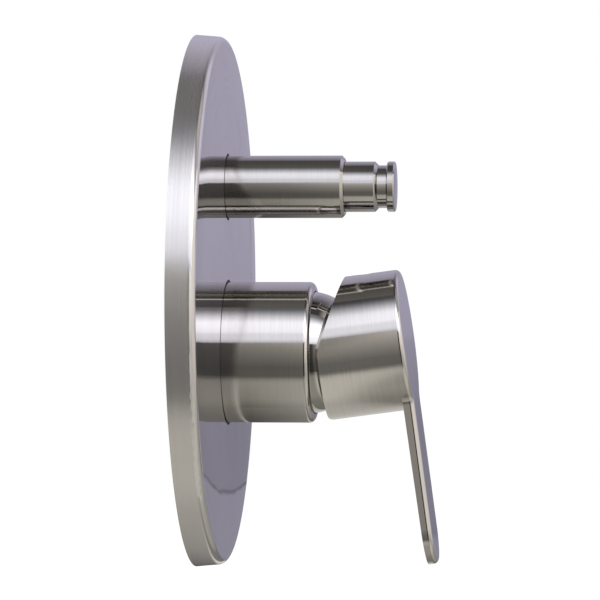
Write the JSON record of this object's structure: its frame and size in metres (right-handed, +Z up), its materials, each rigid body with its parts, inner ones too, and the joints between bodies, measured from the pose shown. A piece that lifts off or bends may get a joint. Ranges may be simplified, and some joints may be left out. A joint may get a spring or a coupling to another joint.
{
  "type": "shower diverter valve",
  "caption": "Concealed shower mixer with diverter: round wall plate, pull knob on a slim post, single lever on a large sleeve, brass function block behind the plate.",
  "frame": {"origin": "centre of the wall plate's back edge, in the plane of the wall", "axes": "+Z up the wall, the knob and the lever stand out along -Y, +Y points into the wall"},
  "size_m": [0.18, 0.0884, 0.18],
  "materials": {
    "brushed_nickel": "brushed nickel plate, fine turned grain",
    "polished_nickel": "polished nickel plate",
    "cast_brass": "cast, machined on its seats",
    "turned_brass": "turned",
    "stainless": "turned",
    "dark_steel": "black oxide",
    "seal_rubber": "matt black",
    "foam": "closed-cell foam",
    "cartridge_plastic": "moulded",
    "disc_ceramic": "lapped"
  },
  "bodies": {
    "plate_and_block": {"faceplate": "brushed_nickel", "wall_gasket": "foam", "mixer_plate_ring": "seal_rubber", "diverter_plate_ring": "seal_rubber", "valve_body": "cast_brass", "duct_plugs": "turned_brass", "spigot_rings": "seal_rubber", "mixer_sleeve": "brushed_nickel", "mixer_sleeve_ring": "seal_rubber", "dome_cap": "polished_nickel", "cartridge_nut": "turned_brass", "cartridge_housing": "cartridge_plastic", "cartridge_base": "cartridge_plastic", "port_seals": "seal_rubber", "fixed_disc": "disc_ceramic", "diverter_sleeve": "brushed_nickel", "diverter_sleeve_ring": "seal_rubber", "diverter_bonnet": "turned_brass", "stem_gland_ring": "seal_rubber", "diverter_spring": "stainless"},
    "swivel": {"stem_guide": "cartridge_plastic", "pivot_pin": "stainless"},
    "lever": {"lever_stem": "stainless", "handle": "brushed_nickel", "set_screw": "dark_steel"},
    "discs": {"moving_disc": "disc_ceramic", "disc_carrier": "cartridge_plastic"},
    "pull": {"diverter_stem": "stainless", "diverter_poppet": "turned_brass", "seat_washer": "seal_rubber", "washer_screw": "stainless", "diverter_knob": "brushed_nickel"}
  },
  "joints": [
    {"name": "temperature_turn", "type": "hinge", "parent": "plate_and_block", "child": "swivel", "pos_m": [0, -0.037, -0.0175], "axis": [0, -1, 0], "range_deg": [-45, 45]},
    {"name": "handle_lift", "type": "hinge", "parent": "swivel", "child": "lever", "pos_m": [0, -0.037, -0.0175], "axis": [-1, 0, 0], "range_deg": [-7.6, 16.4]},
    {"name": "disc_slide", "type": "slide", "parent": "swivel", "child": "discs", "axis": [0, 0, -1], "range_m": [-0.00255, 0.00546]},
    {"name": "diverter_pull", "type": "slide", "parent": "plate_and_block", "child": "pull", "axis": [0, -1, 0], "range_m": [0, 0.008], "stiffness_N_per_m": 250, "springref_m": -0.004, "deforming": ["diverter_spring"]}
  ],
  "couplings": [
    {"joint": "disc_slide", "follows": "handle_lift", "m_per_rad": 0.01893}
  ]
}
